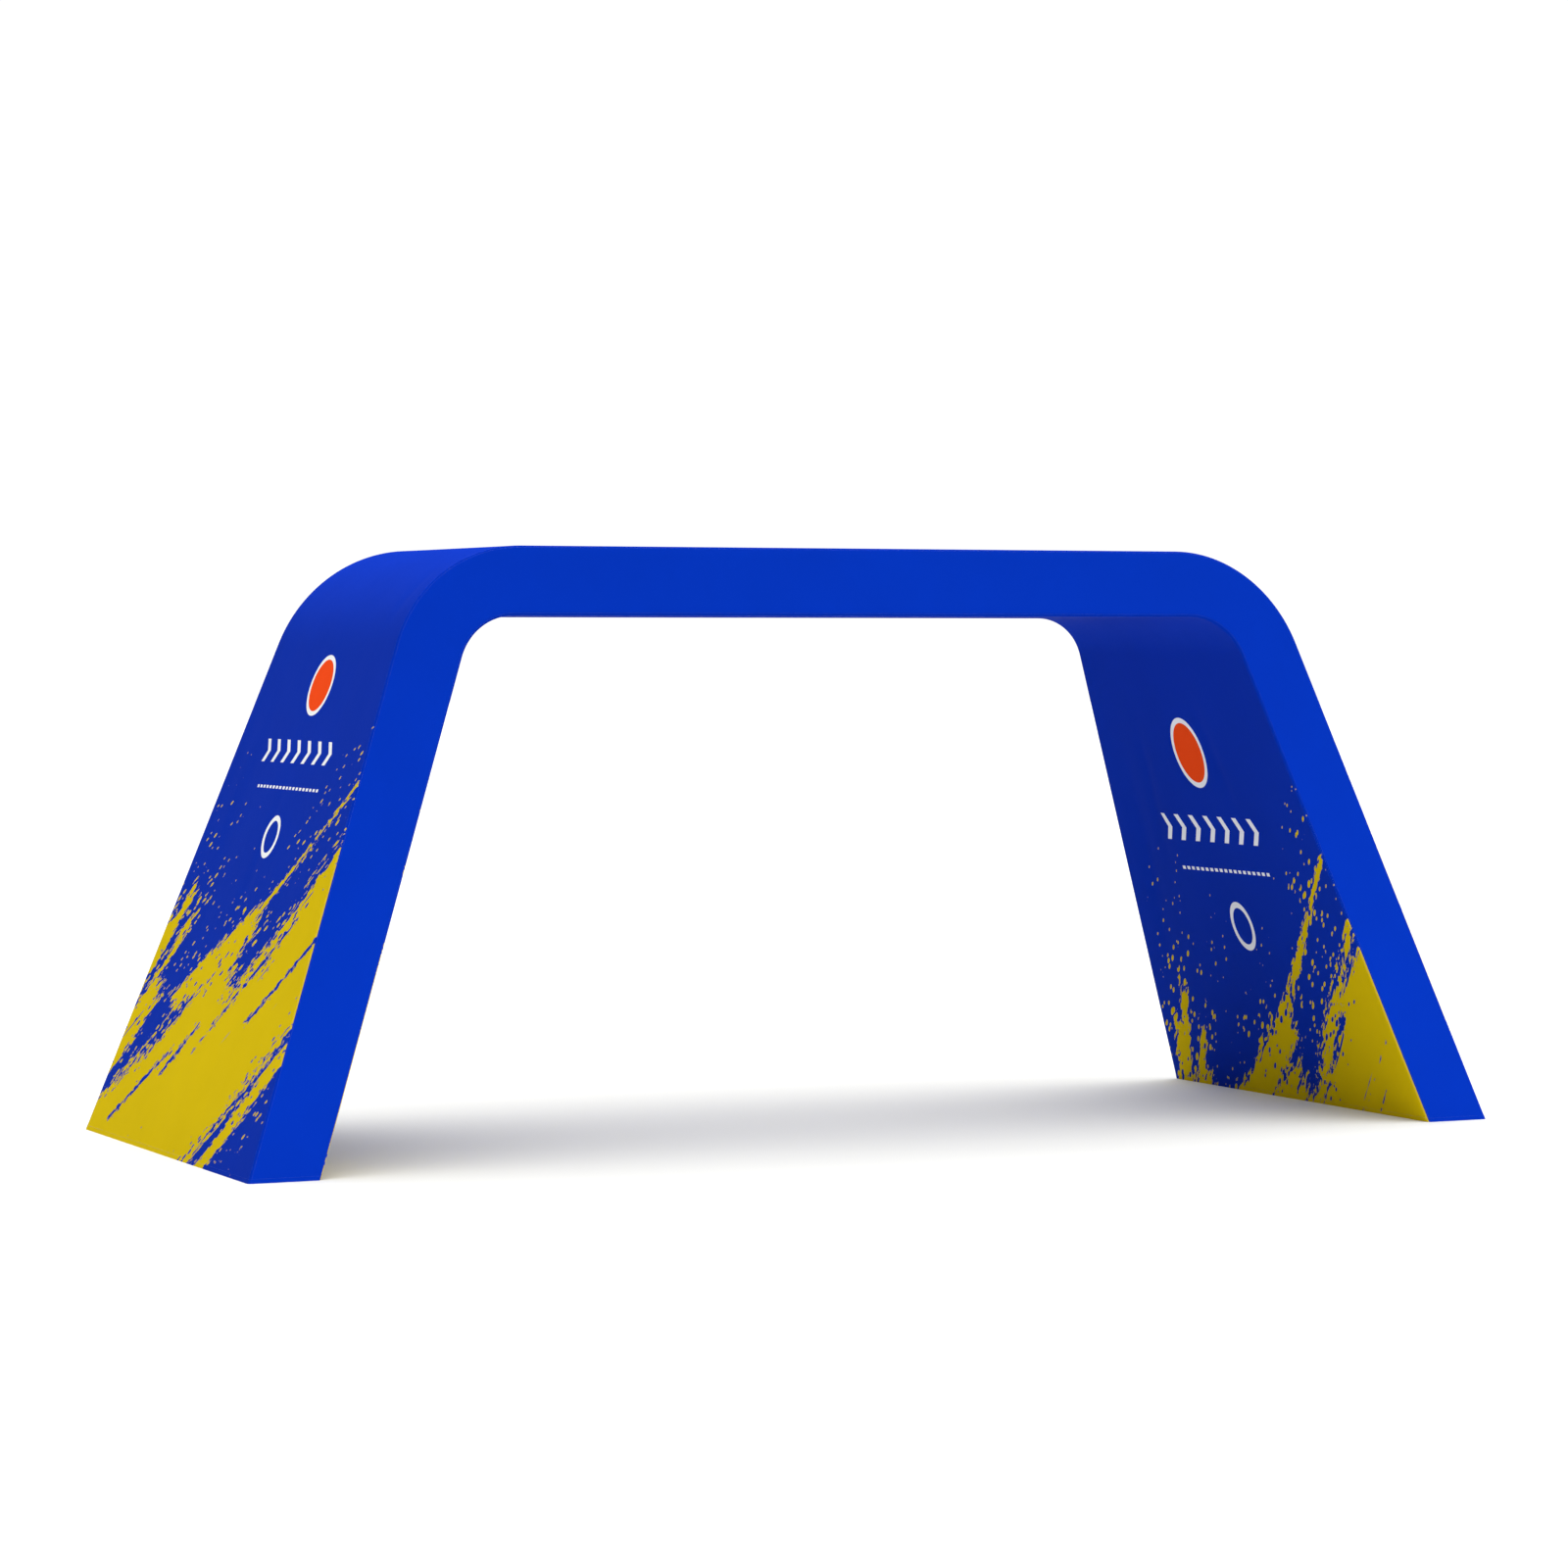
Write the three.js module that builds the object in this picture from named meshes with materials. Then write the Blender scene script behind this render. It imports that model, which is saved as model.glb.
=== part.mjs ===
// Free-standing entrance arch: a printed stretch-fabric cover drawn over an aluminium tube frame.
// Millimetres. X runs along the span, Y from the front (negative) to the back, Z up.
// The origin is on the floor, under the middle of the beam.
import * as THREE from 'three';

// Driving dimensions of the covered arch
const HEIGHT = 3000;
const HALF_SPAN = 3433;
const LEG_WIDTH = 362;
const BEAM_HEIGHT = 344;
const FLOOR_DEPTH = 2662;
const OUTER_BEND = 725;
const INNER_BEND = 310;
// How far the legs, and the front and back faces, lean in for each unit of height
const LEG_RUN = 0.36;
const FACE_RUN = 0.178;

// Cloth, tube and plate sizes
const CLOTH = 2;
const TUBE_RADIUS = 16;
const STRUT_RADIUS = 12.5;
const PLATE = { thick: 8, deep: 140, margin: 12 };

// Clearances between neighbouring pieces
const SEAT_GAP = 0.3;
const CLOTH_CLEARANCE = 0.5;

// How far the cloth is drawn in between the tubes, and its broad soft troughs.
// up is a share of the leg from the floor to the bend, across a share of the depth from the front,
// tall and wide are the trough's half sizes in the same shares, and deep is in millimetres.
const LEG_HOLLOW = 3;
const BEND_HOLLOW = 5;
const ROOF_HOLLOW = 4;
// The higher this is, the closer to a band's edges its hollow starts
const EDGE_HOLD = 8;
const TROUGHS = [
  { band: 'outer', side: -1, up: 0.7, across: 0.82, tall: 0.3, wide: 0.12, deep: 10 },
  { band: 'outer', side: -1, up: 0.45, across: 0.3, tall: 0.35, wide: 0.1, deep: 3 },
  { band: 'outer', side: 1, up: 0.62, across: 0.78, tall: 0.32, wide: 0.13, deep: 8 },
  { band: 'outer', side: 1, up: 0.5, across: 0.22, tall: 0.3, wide: 0.1, deep: 4 },
  { band: 'inner', side: 1, up: 0.6, across: 0.86, tall: 0.35, wide: 0.1, deep: 7 },
  { band: 'inner', side: 1, up: 0.72, across: 0.5, tall: 0.25, wide: 0.09, deep: 4 },
  { band: 'inner', side: -1, up: 0.66, across: 0.8, tall: 0.3, wide: 0.12, deep: 8 },
  { band: 'inner', side: -1, up: 0.5, across: 0.25, tall: 0.3, wide: 0.1, deep: 3 },
];

// Steps along a leg, round a bend, along half the beam, round an edge and across a flat
const LEG_STEPS = 8;
const BEND_STEPS = 8;
const BEAM_STEPS = 3;
const LIP_STEPS = 3;
const BAND_STEPS = 12;
const PANEL_STEPS = 2;
const TUBE_SIDES = 12;

// Where the struts stand: heights up the legs
const BASE_STRUT_HEIGHT = 60;
const MIDDLE_RUNG_HEIGHT = 1250;
const UPPER_RUNG_HEIGHT = 2380;
// and along each half of the beam, as a share of it
const END_RUNG_SHARE = 0.97;

// Worked out from the sizes above
const EDGE_RADIUS = TUBE_RADIUS + CLOTH_CLEARANCE + CLOTH;
const FACE_SLANT = Math.hypot(1, FACE_RUN);
const LEG_ANGLE = Math.atan(LEG_RUN);
const TURN = Math.PI / 2 - LEG_ANGLE;
const FOOT_CENTRE = HALF_SPAN - LEG_WIDTH / 2;

// An arch line in the X-Z plane, which the cloth follows. facing is 1 where the cloth faces away from
// the archway and -1 where it faces into it.
function archLine(footX, top, radius, facing) {
  return {
    x: footX - LEG_RUN * top - radius * Math.tan(TURN / 2),
    z: top - radius,
    radius,
    facing,
  };
}

const LINES = {
  outer: archLine(HALF_SPAN, HEIGHT, OUTER_BEND, 1),
  inner: archLine(HALF_SPAN - LEG_WIDTH, HEIGHT - BEAM_HEIGHT, INNER_BEND, -1),
};
const FACES = { front: -1, back: 1 };
const SIDES = { left: -1, right: 1 };

// A station is a number along the arch: -3 left foot, -2 and -1 the ends of the left bend, 0 mid span,
// 1 and 2 the ends of the right bend, 3 right foot.
function angleAt(station) {
  return Math.PI / 2 - TURN * THREE.MathUtils.clamp(Math.abs(station) - 1, 0, 1);
}

// Takes a point of the right bend's section down the leg or in along the beam to its station.
// across is 0 on the front lines and 1 on the back lines.
function slideTo(station, point, across, floor = 0) {
  const run = (point.z - floor) * Math.max(Math.abs(station) - 2, 0);
  point.x = (point.x + LEG_RUN * run) * THREE.MathUtils.clamp(station, -1, 1);
  point.y -= FACE_RUN * (1 - 2 * across) * run;
  point.z -= run;
  return point;
}

function faceNormal(face) {
  return new THREE.Vector3(0, face, FACE_RUN).divideScalar(FACE_SLANT);
}

function lineNormal(line, angle) {
  return new THREE.Vector3(Math.cos(angle), 0, Math.sin(angle)).multiplyScalar(line.facing);
}

// The axis of a corner tube in the section at an angle of the right bend
function cornerAxis(line, face, angle) {
  const reach = line.radius - line.facing * EDGE_RADIUS;
  const x = line.x + reach * Math.cos(angle);
  const z = line.z + reach * Math.sin(angle);
  const y = face * (FLOOR_DEPTH / 2 - FACE_RUN * z - EDGE_RADIUS * FACE_SLANT);
  return new THREE.Vector3(x, y, z);
}

function axisPoint(line, face, station, floor = 0) {
  return slideTo(station, cornerAxis(line, face, angleAt(station)), (face + 1) / 2, floor);
}

function turnBetween(from, to, share) {
  const whole = from.angleTo(to);
  const turned = from.clone().multiplyScalar(Math.sin((1 - share) * whole));
  return turned.addScaledVector(to, Math.sin(share * whole)).divideScalar(Math.sin(whole));
}

// Half the seam gap as a share of the turn round the roof edge, which is the shortest turn
const ROOF_EDGE_TURN = Math.acos(FACE_RUN / FACE_SLANT);
const SEAM_SHARE = SEAT_GAP / (2 * ROOF_EDGE_TURN * (EDGE_RADIUS - CLOTH));

// A point on the cloth where it turns round a corner tube: lip 0 is at the seam, 1 where the flat starts
function lipPoint(sheet, corner, station, depth, lip) {
  const angle = angleAt(station);
  const face = faceNormal(corner.face);
  const line = lineNormal(corner.line, angle);
  const [other, own] = sheet.follows === 'face' ? [line, face] : [face, line];
  const seam = 0.5 + SEAM_SHARE;
  const direction = turnBetween(other, own, seam + (1 - seam) * lip);
  const point = cornerAxis(corner.line, corner.face, angle);
  point.addScaledVector(direction, EDGE_RADIUS - depth);
  return slideTo(station, point, (corner.face + 1) / 2);
}

// How far a band is drawn in at a place. It is held out to the full line at each spreader tube,
// which stand at the whole stations, and at the tubes along its edges.
function drawnIn(sheet, station, across) {
  const place = Math.abs(station);
  const held = 1 - Math.pow(2 * across - 1, EDGE_HOLD);
  const between = Math.abs(Math.sin(Math.PI * place));
  if (place < 1) {
    const hollow = sheet.name === 'outer' ? ROOF_HOLLOW : 0;
    return hollow * held * between;
  }
  if (place < 2) {
    return BEND_HOLLOW * held * between;
  }
  const up = 3 - place;
  let depth = LEG_HOLLOW;
  for (const trough of TROUGHS) {
    if (trough.band === sheet.name && trough.side === Math.sign(station)) {
      const rise = (up - trough.up) / trough.tall;
      const aside = (across - trough.across) / trough.wide;
      depth += trough.deep * Math.exp(-rise * rise - aside * aside);
    }
  }
  return depth * held * between;
}

function flatPoint(sheet, station, depth, share) {
  const [first, last] = sheet.corners;
  const start = lipPoint(sheet, first, station, depth, 1);
  const point = start.lerp(lipPoint(sheet, last, station, depth, 1), share);
  if (sheet.follows === 'line') {
    const inwards = lineNormal(first.line, angleAt(station));
    inwards.x *= Math.sign(station);
    point.addScaledVector(inwards, -drawnIn(sheet, station, share));
  }
  return point;
}

// Stops across a sheet: round the first corner tube, over the flat, round the last corner tube
function crossStops(flatSteps) {
  const stops = [];
  for (let step = 0; step < LIP_STEPS; step += 1) {
    stops.push({ corner: 0, lip: step / LIP_STEPS });
  }
  for (let step = 0; step <= flatSteps; step += 1) {
    stops.push({ share: step / flatSteps });
  }
  for (let step = LIP_STEPS - 1; step >= 0; step -= 1) {
    stops.push({ corner: 1, lip: step / LIP_STEPS });
  }
  return stops;
}

// Stations from the left foot to the right foot
function archStations() {
  const half = [];
  for (let step = 0; step < BEAM_STEPS; step += 1) {
    half.push(step / BEAM_STEPS);
  }
  for (let step = 0; step < BEND_STEPS; step += 1) {
    half.push(1 + step / BEND_STEPS);
  }
  for (let step = 0; step <= LEG_STEPS; step += 1) {
    half.push(2 + step / LEG_STEPS);
  }
  const left = half.slice(1).reverse().map((station) => -station);
  return left.concat(half);
}

// Turns the faces round where the map has left them pointing in
function faceOut(geometry) {
  const position = geometry.attributes.position;
  const index = geometry.index;
  const corner = [new THREE.Vector3(), new THREE.Vector3(), new THREE.Vector3()];
  let volume = 0;
  for (let i = 0; i < index.count; i += 3) {
    corner.forEach((vector, k) => vector.fromBufferAttribute(position, index.getX(i + k)));
    volume += corner[0].dot(corner[1].clone().cross(corner[2]));
  }
  if (volume < 0) {
    for (let i = 0; i < index.count; i += 3) {
      const second = index.getX(i + 1);
      index.setX(i + 1, index.getX(i + 2));
      index.setX(i + 2, second);
    }
  }
  geometry.computeVertexNormals();
  return geometry;
}

// Moves every vertex of a box or cylinder of unit size to its place in the shaped piece
function reshape(geometry, placeOf) {
  const position = geometry.attributes.position;
  const vertex = new THREE.Vector3();
  for (let i = 0; i < position.count; i += 1) {
    vertex.fromBufferAttribute(position, i);
    const place = placeOf(vertex);
    position.setXYZ(i, place.x, place.y, place.z);
  }
  return faceOut(geometry);
}

function sheetGeometry(sheet) {
  const stations = archStations();
  const stops = crossStops(sheet.flatSteps);
  const last = { station: stations.length - 1, stop: stops.length - 1 };
  const slab = new THREE.BoxGeometry(1, 1, 1, last.station, last.stop, 1);
  return reshape(slab, (vertex) => {
    const station = stations[Math.round((vertex.x + 0.5) * last.station)];
    const stop = stops[Math.round((vertex.y + 0.5) * last.stop)];
    const depth = vertex.z > 0 ? 0 : CLOTH;
    if (stop.lip === undefined) {
      return flatPoint(sheet, station, depth, stop.share);
    }
    return lipPoint(sheet, sheet.corners[stop.corner], station, depth, stop.lip);
  });
}

// A corner tube from one station to another. A leg tube is cut level where it stands on its base plate.
function hoopGeometry(line, face, from, to, steps) {
  const rod = new THREE.CylinderGeometry(1, 1, 1, TUBE_SIDES, steps);
  const floor = PLATE.thick + SEAT_GAP;
  return reshape(rod, (vertex) => {
    const station = THREE.MathUtils.lerp(from, to, vertex.y + 0.5);
    const angle = angleAt(station);
    const outwards = lineNormal(line, angle);
    const sideways = faceNormal(face);
    sideways.addScaledVector(outwards, -sideways.dot(outwards)).normalize();
    const point = cornerAxis(line, face, angle);
    point.addScaledVector(outwards, TUBE_RADIUS * vertex.x);
    point.addScaledVector(sideways, TUBE_RADIUS * vertex.z);
    return slideTo(station, point, (face + 1) / 2, floor);
  });
}

function clothBlue() {
  return new THREE.MeshStandardMaterial({ color: '#0035c0', roughness: 0.85, metalness: 0 });
}

function clothPrinted() {
  return new THREE.MeshStandardMaterial({ color: '#012e9a', roughness: 0.85, metalness: 0 });
}

function aluminium() {
  return new THREE.MeshStandardMaterial({ color: '#b9bcc0', roughness: 0.4, metalness: 1 });
}

function paintedSteel() {
  return new THREE.MeshStandardMaterial({ color: '#2a2c30', roughness: 0.6, metalness: 0.2 });
}

function namedMesh(name, geometry, material) {
  const mesh = new THREE.Mesh(geometry, material);
  mesh.name = name;
  return mesh;
}

function cover() {
  const { outer, inner } = LINES;
  const group = new THREE.Group();
  for (const [name, face] of Object.entries(FACES)) {
    const corners = [{ line: outer, face }, { line: inner, face }];
    const panel = { name, follows: 'face', corners, flatSteps: PANEL_STEPS };
    group.add(namedMesh(`${name}_panel`, sheetGeometry(panel), clothBlue()));
  }
  for (const [name, line] of Object.entries(LINES)) {
    const corners = [{ line, face: FACES.front }, { line, face: FACES.back }];
    const band = { name, follows: 'line', corners, flatSteps: BAND_STEPS };
    group.add(namedMesh(`${name}_band`, sheetGeometry(band), clothPrinted()));
  }
  return group;
}

// One hoop of the frame: leg tube, bend, top tube, bend and leg tube, end to end
function hoop(lineName, faceName) {
  const line = LINES[lineName];
  const face = FACES[faceName];
  const label = `${faceName}_${lineName}`;
  const bendEnd = axisPoint(line, face, 1);
  const bendStart = axisPoint(line, face, 2);
  const legShare = SEAT_GAP / bendStart.z;
  const topShare = SEAT_GAP / bendEnd.x;
  const group = new THREE.Group();
  for (const [sideName, side] of Object.entries(SIDES)) {
    const leg = hoopGeometry(line, face, side * 3, side * (2 + legShare), 1);
    const bend = hoopGeometry(line, face, side * 2, side, BEND_STEPS);
    group.add(namedMesh(`${label}_${sideName}_leg_tube`, leg, aluminium()));
    group.add(namedMesh(`${label}_${sideName}_bend_tube`, bend, aluminium()));
  }
  const top = hoopGeometry(line, face, topShare - 1, 1 - topShare, 1);
  group.add(namedMesh(`${label}_top_tube`, top, aluminium()));
  return group;
}

// A straight round strut between two points
function strut(name, from, to) {
  const length = from.distanceTo(to);
  const rod = new THREE.CylinderGeometry(STRUT_RADIUS, STRUT_RADIUS, length, TUBE_SIDES);
  const mesh = namedMesh(name, rod, aluminium());
  mesh.position.copy(from).lerp(to, 0.5);
  const along = to.clone().sub(from).normalize();
  mesh.quaternion.setFromUnitVectors(new THREE.Vector3(0, 1, 0), along);
  return mesh;
}

// A spreader from the front tube to the back tube of one line. Its ends clear a tube that slopes
// past them by the slope's sine.
function spreader(name, line, station) {
  const front = axisPoint(line, FACES.front, station);
  const back = axisPoint(line, FACES.back, station);
  const onLeg = Math.abs(station) >= 2;
  const slopeSine = onLeg ? FACE_RUN / Math.hypot(1, LEG_RUN, FACE_RUN) : 0;
  const slopeCosine = Math.sqrt(1 - slopeSine * slopeSine);
  const clear = (TUBE_RADIUS + SEAT_GAP + STRUT_RADIUS * slopeSine) / slopeCosine;
  front.y += clear;
  back.y -= clear;
  return strut(name, front, back);
}

function spreaders() {
  const group = new THREE.Group();
  for (const [lineName, line] of Object.entries(LINES)) {
    const legTop = axisPoint(line, FACES.front, 2).z;
    const base = 3 - BASE_STRUT_HEIGHT / legTop;
    for (const [sideName, side] of Object.entries(SIDES)) {
      const label = `${lineName}_${sideName}`;
      group.add(spreader(`${label}_base_spreader`, line, side * base));
      group.add(spreader(`${label}_leg_spreader`, line, side * 2));
      group.add(spreader(`${label}_beam_spreader`, line, side));
    }
    group.add(spreader(`${lineName}_middle_spreader`, line, 0));
  }
  return group;
}

// A rung square across from the outer tube to the inner tube of one face
function rung(name, outerPoint, innerLine) {
  const innerPoint = innerLine.closestPointToPoint(outerPoint, false, new THREE.Vector3());
  const along = innerPoint.clone().sub(outerPoint).normalize();
  const clear = TUBE_RADIUS + SEAT_GAP;
  outerPoint.addScaledVector(along, clear);
  innerPoint.addScaledVector(along, -clear);
  return strut(name, outerPoint, innerPoint);
}

function legRungs(faceName, sideName) {
  const face = FACES[faceName];
  const side = SIDES[sideName];
  const { outer, inner } = LINES;
  const innerLine = new THREE.Line3(axisPoint(inner, face, side * 3), axisPoint(inner, face, side * 2));
  const legTop = axisPoint(outer, face, 2).z;
  const group = new THREE.Group();
  for (const [place, height] of [['middle', MIDDLE_RUNG_HEIGHT], ['upper', UPPER_RUNG_HEIGHT]]) {
    const start = axisPoint(outer, face, side * (3 - height / legTop));
    group.add(rung(`${faceName}_${sideName}_${place}_rung`, start, innerLine));
  }
  return group;
}

function beamRungs(faceName) {
  const face = FACES[faceName];
  const { outer, inner } = LINES;
  const innerLine = new THREE.Line3(axisPoint(inner, face, -1), axisPoint(inner, face, 1));
  const places = [['left', -END_RUNG_SHARE], ['middle', 0], ['right', END_RUNG_SHARE]];
  const group = new THREE.Group();
  for (const [place, station] of places) {
    const start = axisPoint(outer, face, station);
    group.add(rung(`${faceName}_beam_${place}_rung`, start, innerLine));
  }
  return group;
}

// The flat steel plate that two tubes of a foot stand on
function basePlate(faceName, sideName) {
  const width = LEG_WIDTH - 2 * PLATE.margin;
  const plate = new THREE.BoxGeometry(width, PLATE.deep, PLATE.thick);
  const mesh = namedMesh(`${faceName}_${sideName}_base_plate`, plate, paintedSteel());
  const edge = FLOOR_DEPTH / 2 - PLATE.margin;
  mesh.position.x = SIDES[sideName] * FOOT_CENTRE;
  mesh.position.y = FACES[faceName] * (edge - PLATE.deep / 2);
  mesh.position.z = PLATE.thick / 2;
  return mesh;
}

function tubeFrame() {
  const group = new THREE.Group();
  for (const faceName of Object.keys(FACES)) {
    for (const lineName of Object.keys(LINES)) {
      group.add(hoop(lineName, faceName));
    }
    for (const sideName of Object.keys(SIDES)) {
      group.add(legRungs(faceName, sideName));
      group.add(basePlate(faceName, sideName));
    }
    group.add(beamRungs(faceName));
  }
  group.add(spreaders());
  return group;
}

const arch = new THREE.Group();
arch.add(cover());
arch.add(tubeFrame());
export default arch;
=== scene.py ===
# Looks of a free-standing entrance arch: a printed stretch-knit cover drawn over an aluminium tube frame.
# Metres. X runs along the span, Y from the front (negative) to the back, Z up.
# The origin is on the floor, under the middle of the beam.
import math

import bmesh
import bpy
import numpy as np
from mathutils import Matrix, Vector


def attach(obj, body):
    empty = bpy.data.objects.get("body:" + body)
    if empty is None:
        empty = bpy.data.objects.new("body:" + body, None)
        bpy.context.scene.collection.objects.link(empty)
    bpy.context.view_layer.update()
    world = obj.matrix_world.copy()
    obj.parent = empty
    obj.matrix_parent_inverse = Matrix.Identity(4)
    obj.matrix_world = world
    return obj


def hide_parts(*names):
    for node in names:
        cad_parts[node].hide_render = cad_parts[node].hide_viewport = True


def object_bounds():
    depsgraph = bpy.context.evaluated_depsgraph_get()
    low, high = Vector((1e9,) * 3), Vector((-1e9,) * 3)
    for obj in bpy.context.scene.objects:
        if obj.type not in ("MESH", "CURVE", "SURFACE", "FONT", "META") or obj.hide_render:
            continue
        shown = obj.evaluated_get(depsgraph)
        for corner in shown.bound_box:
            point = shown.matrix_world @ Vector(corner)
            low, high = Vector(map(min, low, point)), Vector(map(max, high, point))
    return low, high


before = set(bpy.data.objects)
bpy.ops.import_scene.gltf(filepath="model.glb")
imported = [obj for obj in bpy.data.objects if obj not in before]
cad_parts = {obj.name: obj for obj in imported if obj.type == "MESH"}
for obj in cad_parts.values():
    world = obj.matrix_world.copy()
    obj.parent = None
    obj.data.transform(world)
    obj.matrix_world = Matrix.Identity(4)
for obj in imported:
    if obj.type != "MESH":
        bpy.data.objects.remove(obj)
cad_low, cad_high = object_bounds()


def table(keys, rows):
    """Rows of values as dictionaries that share their keys."""
    return [dict(zip(keys.split(), row)) for row in rows]


# Driving sizes of the covered arch: the overall ones from the frame, the others as the solids have them
HEIGHT = cad_high.z
HALF_SPAN = cad_high.x
FLOOR_DEPTH = cad_high.y - cad_low.y
LEG_WIDTH = 0.362
BEAM_HEIGHT = 0.344
OUTER_BEND = 0.725
INNER_BEND = 0.310
LEG_RUN = 0.36
FACE_RUN = 0.178
EDGE_RADIUS = 0.0185
SEAM_SHARE = 0.0065

# The knit as it is drawn: thickness, hem and sewing
KNIT = 0.001
HEM_HEIGHT = 0.026
HEM_RISE = 0.0006
HEM_STITCH_HEIGHT = 0.021
SEAM_GROOVE = 0.0008
SEAM_RIDGE = 0.0005
STITCH_LENGTH = 0.0036
STITCH_PITCH = 0.005
STITCH_RADIUS = 0.0005

# Places beside a seam, in shares of the way from the seam to the flat: half the groove, where the ridge over
# the seam allowance is full, where it ends, how far it takes to fall, and the row of stitches
GROOVE_HALF = 0.04
RIDGE_FULL = 0.06
RIDGE_END = 0.62
RIDGE_FALL = 0.12
STITCH_LIP = 0.5
# The hem's top edge fades out over this share of its height
HEM_FADE = 0.1

# Soft hollows and troughs in the bands, as the solids have them. A trough's place up the leg and across the
# band, and its half height and half width, are shares of the leg and of the band. Its depth is in metres.
LEG_HOLLOW = 0.003
BEND_HOLLOW = 0.005
ROOF_HOLLOW = 0.004
EDGE_HOLD = 8
TROUGHS = table("band side up across tall wide deep", [
    ("outer", -1, 0.70, 0.82, 0.30, 0.12, 0.010),
    ("outer", -1, 0.45, 0.30, 0.35, 0.10, 0.003),
    ("outer", 1, 0.62, 0.78, 0.32, 0.13, 0.008),
    ("outer", 1, 0.50, 0.22, 0.30, 0.10, 0.004),
    ("inner", 1, 0.60, 0.86, 0.35, 0.10, 0.007),
    ("inner", 1, 0.72, 0.50, 0.25, 0.09, 0.004),
    ("inner", -1, 0.66, 0.80, 0.30, 0.12, 0.008),
    ("inner", -1, 0.50, 0.25, 0.30, 0.10, 0.003),
])

# Soft creases where the cloth is pulled tight, of the drawn cloth only. They run up a band from low to high,
# in shares of the leg (above 1 is in the bend), and across it from start to end, in shares of its width.
# Their depth is in metres, and one below 0 is a ridge. They die out at the spreader tubes.
CREASES = table("band side low high start end wide deep", [
    ("outer", -1, 0.40, 1.00, 0.90, 0.87, 0.040, -0.006),
    ("outer", -1, 1.02, 1.60, 0.12, 0.08, 0.030, 0.008),
    ("outer", -1, 0.30, 0.85, 0.58, 0.50, 0.026, 0.005),
    ("outer", 1, 0.50, 0.98, 0.12, 0.24, 0.030, 0.007),
    ("outer", 1, 0.40, 0.95, 0.88, 0.76, 0.028, 0.006),
    ("inner", 1, 0.45, 1.00, 0.80, 0.74, 0.028, 0.011),
    ("inner", 1, 0.60, 1.00, 0.34, 0.40, 0.026, 0.010),
    ("inner", 1, 0.15, 0.90, 0.91, 0.87, 0.042, 0.012),
    ("inner", -1, 0.50, 0.98, 0.20, 0.28, 0.026, 0.008),
    ("inner", -1, 0.40, 0.95, 0.88, 0.78, 0.028, 0.007),
])

# Mesh steps along a leg, round a bend, along half the beam and across a flat
LEG_STEPS = 90
BEND_STEPS = 28
BEAM_STEPS = 20
BAND_STEPS = 84
PANEL_STEPS = 16
# Rows near a hem, in hem heights, which stand in for the leg's first two
HEM_STOPS = (0, 0.4, 0.75, 0.85, 1.0, 1.1)
# Stops from a seam towards the flat, in shares of the way
LIP_STOPS = (0, 0.04, 0.09, 0.16, 0.26, 0.4, 0.55, 0.75)
# Faces that turn by more than this look sharp
SHARP = math.radians(50)

# Camera, as worked out from the photo's straight edges
CAMERA_PLACE = (-10.199, -21.720, 2.542)
CAMERA_YAW = math.radians(25.04)
CAMERA_PITCH = math.radians(1.81)
CAMERA_REACH = 500
FOCAL_PIXELS = 4683.6
FRAME_PIXELS = 1600
SENSOR = 36.0

# Worked out
FACE_SLANT = math.hypot(1, FACE_RUN)
LEG_ANGLE = math.atan(LEG_RUN)
TURN = math.pi / 2 - LEG_ANGLE


def arch_line(foot, top, radius, facing):
    """A line of the arch in the X-Z plane. facing is 1 where the cloth faces away from the archway."""
    return {
        "x": foot - LEG_RUN * top - radius * math.tan(TURN / 2),
        "z": top - radius,
        "radius": radius,
        "facing": facing,
    }


LINES = {
    "outer": arch_line(HALF_SPAN, HEIGHT, OUTER_BEND, 1),
    "inner": arch_line(HALF_SPAN - LEG_WIDTH, HEIGHT - BEAM_HEIGHT, INNER_BEND, -1),
}
FACES = {"front": -1, "back": 1}


def add_camera():
    data = bpy.data.cameras.new("photo_camera")
    data.sensor_width = SENSOR
    data.lens = SENSOR * FOCAL_PIXELS / FRAME_PIXELS
    data.clip_end = CAMERA_REACH
    camera = bpy.data.objects.new("photo_camera", data)
    camera.location = CAMERA_PLACE
    camera.rotation_euler = (math.pi / 2 - CAMERA_PITCH, 0, -CAMERA_YAW)
    bpy.context.collection.objects.link(camera)
    bpy.context.scene.camera = camera


# Shape of the cover. A station is a number along the arch: 0 at mid span, then, to the right, these three for
# the end of the beam, the upper end of the leg and the foot. To the left they are below 0.
BEAM_END = 1
LEG_END = 2
FOOT = 3


def vectors(x, y, z):
    return np.stack(np.broadcast_arrays(x, y, z), axis=-1)


def angle_at(stations):
    return math.pi / 2 - TURN * np.clip(np.abs(stations) - BEAM_END, 0, 1)


def line_normal(line, angle):
    return line["facing"] * vectors(np.cos(angle), 0.0, np.sin(angle))


def face_normal(face):
    return np.array([0.0, face, FACE_RUN]) / FACE_SLANT


def corner_axis(line, face, angle):
    reach = line["radius"] - line["facing"] * EDGE_RADIUS
    x = line["x"] + reach * np.cos(angle)
    z = line["z"] + reach * np.sin(angle)
    y = face * (FLOOR_DEPTH / 2 - FACE_RUN * z - EDGE_RADIUS * FACE_SLANT)
    return vectors(x, y, z)


def turn_between(start, end, share):
    start, end = np.broadcast_arrays(start, end)
    whole = np.arccos(np.sum(start * end, axis=-1, keepdims=True))
    share = share[..., None]
    return (start * np.sin((1 - share) * whole) + end * np.sin(share * whole)) / np.sin(whole)


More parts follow.
